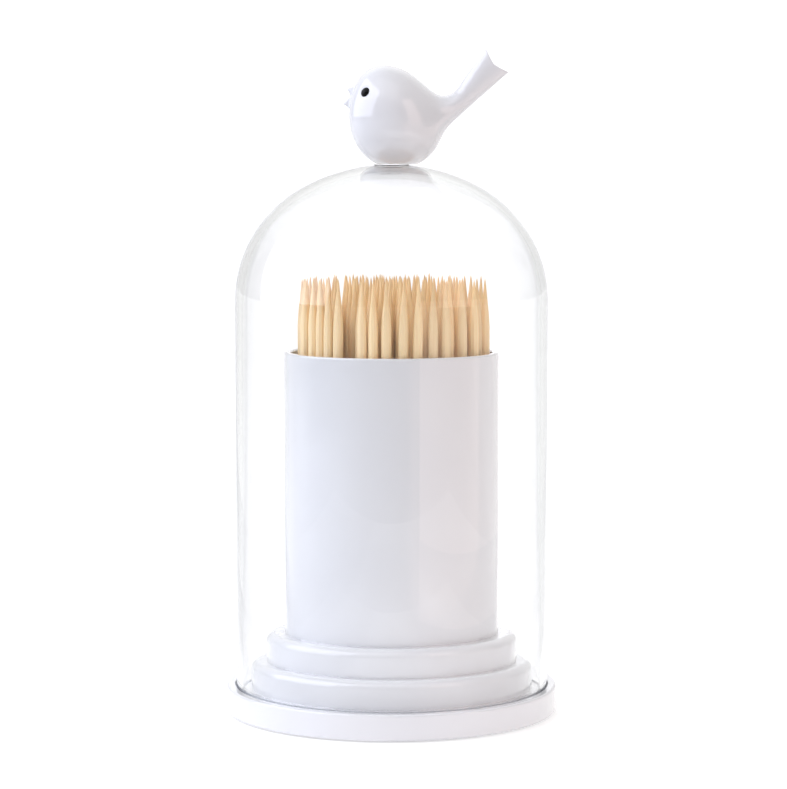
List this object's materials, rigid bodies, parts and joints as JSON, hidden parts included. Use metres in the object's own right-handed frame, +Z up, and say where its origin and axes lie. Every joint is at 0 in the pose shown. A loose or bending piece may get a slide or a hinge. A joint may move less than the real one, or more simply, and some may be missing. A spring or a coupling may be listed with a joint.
{
  "type": "toothpick dispenser",
  "caption": "Table toothpick holder: a cup of bamboo picks on a round stepped base, under a clear lift-off dome with a bird for a knob.",
  "frame": {"origin": "centre of the underside, on the dome's axis and on the surface that the part stands on", "axes": "+Z up along the dome's axis, -X the way the bird faces, -Y the bird's left side"},
  "size_m": [0.066, 0.066, 0.1316],
  "materials": {
    "white_gloss": "glossy injection-moulded white",
    "clear_dome": "polished clear moulding",
    "black_gloss": "glossy black bead",
    "bamboo": "turned bare bamboo",
    "soft_ring": "matt translucent grey elastomer",
    "screw_steel": "zinc-plated steel"
  },
  "bodies": {
    "base": {"base_shell": "white_gloss", "base_plate": "white_gloss", "anti_slip_ring": "soft_ring", "pick_cup": "white_gloss", "cup_screw": "screw_steel"},
    "dome_lid": {"dome": "clear_dome", "bird_left": "white_gloss", "bird_right": "white_gloss", "eye_left": "black_gloss", "eye_right": "black_gloss"},
    "pick_bundle": {"toothpicks": "bamboo"},
    "loose_pick": {"first_pick": "bamboo"}
  },
  "joints": [
    {"name": "dome_lift", "type": "slide", "parent": "base", "child": "dome_lid", "axis": [0, 0, 1], "range_m": [0, 0.1]},
    {"name": "picks_lift", "type": "slide", "parent": "base", "child": "pick_bundle", "axis": [0, 0, 1], "range_m": [0, 0.0115]},
    {"name": "first_pick_lift", "type": "slide", "parent": "base", "child": "loose_pick", "axis": [0, 0, 1], "range_m": [0, 0.0115]}
  ]
}
